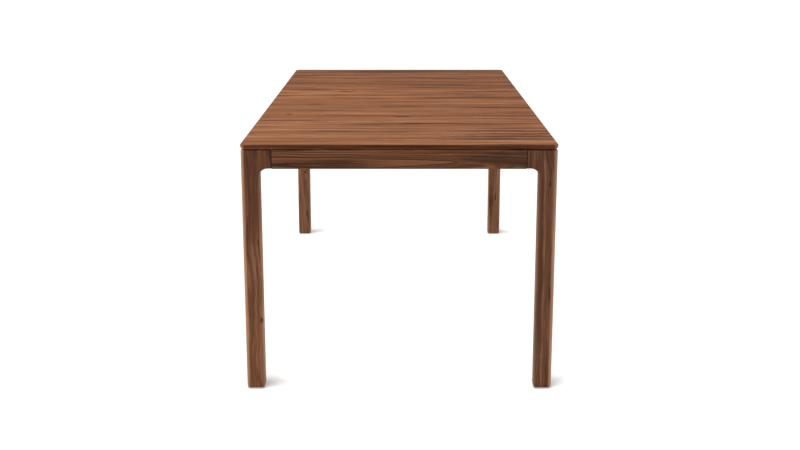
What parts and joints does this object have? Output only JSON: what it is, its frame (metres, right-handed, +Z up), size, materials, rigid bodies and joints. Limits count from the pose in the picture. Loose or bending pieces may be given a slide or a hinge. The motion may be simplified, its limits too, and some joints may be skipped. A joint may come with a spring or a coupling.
{
  "type": "extending dining table",
  "caption": "Extending dining table: rounded wooden legs with curved shoulders, slim rails, and a top whose halves slide apart on geared runners to take a leaf stored beneath.",
  "frame": {"origin": "on the floor under the centre of the closed table", "axes": "+X across the table, +Y along its length away from the pictured end, +Z up"},
  "size_m": [0.914, 2, 0.74],
  "materials": {
    "top_wood": "oiled walnut-brown boards, grain across the table",
    "leg_wood": "oiled walnut-brown, grain upright",
    "rail_wood": "oiled walnut-brown, grain along the rail",
    "inner_wood": "planed and waxed beech",
    "dowel_wood": "turned beech",
    "rack_nylon": "moulded black nylon",
    "glide_nylon": "moulded brown nylon",
    "latch_metal": "black powder coat",
    "steel": "bright zinc-plated"
  },
  "bodies": {
    "frame": {"axle_clips": "steel", "bolt_nuts": "steel", "bolt_washers": "steel", "corner_block_back_left": "inner_wood", "corner_block_back_right": "inner_wood", "corner_block_front_left": "inner_wood", "corner_block_front_right": "inner_wood", "cross_rail_back": "inner_wood", "cross_rail_front": "inner_wood", "cross_rail_middle": "inner_wood", "end_rail_back": "rail_wood", "end_rail_front": "rail_wood", "foot_glides": "glide_nylon", "guide_left": "inner_wood", "guide_right": "inner_wood", "guide_screws": "steel", "hanger_bolts": "steel", "leg_back_left": "leg_wood", "leg_back_right": "leg_wood", "leg_front_left": "leg_wood", "leg_front_right": "leg_wood", "pinion_axles": "steel", "side_rail_left": "rail_wood", "side_rail_right": "rail_wood", "slide_pads": "glide_nylon"},
    "top_front": {"batten_front_left": "inner_wood", "batten_front_right": "inner_wood", "latch_pivots": "steel", "rack_front_left": "rack_nylon", "rack_front_right": "rack_nylon", "runner_front_left": "inner_wood", "runner_front_right": "inner_wood", "seam_dowels": "dowel_wood", "stop_pins_front": "steel", "top_panel_front": "top_wood", "top_screws_front": "steel"},
    "top_back": {"batten_back_left": "inner_wood", "batten_back_right": "inner_wood", "keeper_screws": "steel", "latch_keeper_left": "latch_metal", "latch_keeper_right": "latch_metal", "rack_back_left": "rack_nylon", "rack_back_right": "rack_nylon", "runner_back_left": "inner_wood", "runner_back_right": "inner_wood", "stop_pins_back": "steel", "top_panel_back": "top_wood", "top_screws_back": "steel"},
    "pinion_left": {"pinion_left": "steel"},
    "pinion_right": {"pinion_right": "steel"},
    "latch_left": {"latch_lever_left": "latch_metal"},
    "latch_right": {"latch_lever_right": "latch_metal"},
    "leaf": {"leaf_dowels": "dowel_wood", "leaf_panel": "top_wood"}
  },
  "joints": [
    {"name": "top_front_slide", "type": "slide", "parent": "frame", "child": "top_front", "axis": [0, -1, 0], "range_m": [0, 0.25]},
    {"name": "top_back_slide", "type": "slide", "parent": "frame", "child": "top_back", "axis": [0, 1, 0], "range_m": [0, 0.25]},
    {"name": "pinion_left_spin", "type": "hinge", "parent": "frame", "child": "pinion_left", "pos_m": [-0.3264, 0, 0.707], "axis": [0, 0, 1], "range_deg": [0, 720]},
    {"name": "pinion_right_spin", "type": "hinge", "parent": "frame", "child": "pinion_right", "pos_m": [0.3264, 0, 0.707], "axis": [0, 0, 1], "range_deg": [0, 720]},
    {"name": "latch_left_turn", "type": "hinge", "parent": "top_front", "child": "latch_left", "pos_m": [-0.15, -0.04, 0.718], "axis": [0, 0, 1], "range_deg": [0, 90]},
    {"name": "latch_right_turn", "type": "hinge", "parent": "top_front", "child": "latch_right", "pos_m": [0.15, -0.04, 0.718], "axis": [0, 0, 1], "range_deg": [0, 90]},
    {"name": "leaf_slide", "type": "slide", "parent": "frame", "child": "leaf", "axis": [0, -1, 0], "range_m": [0, 0.24]}
  ],
  "couplings": [
    {"joint": "top_back_slide", "follows": "top_front_slide", "ratio": 1},
    {"joint": "pinion_left_spin", "follows": "top_front_slide", "rad_per_m": 50},
    {"joint": "pinion_right_spin", "follows": "top_front_slide", "rad_per_m": 50}
  ]
}
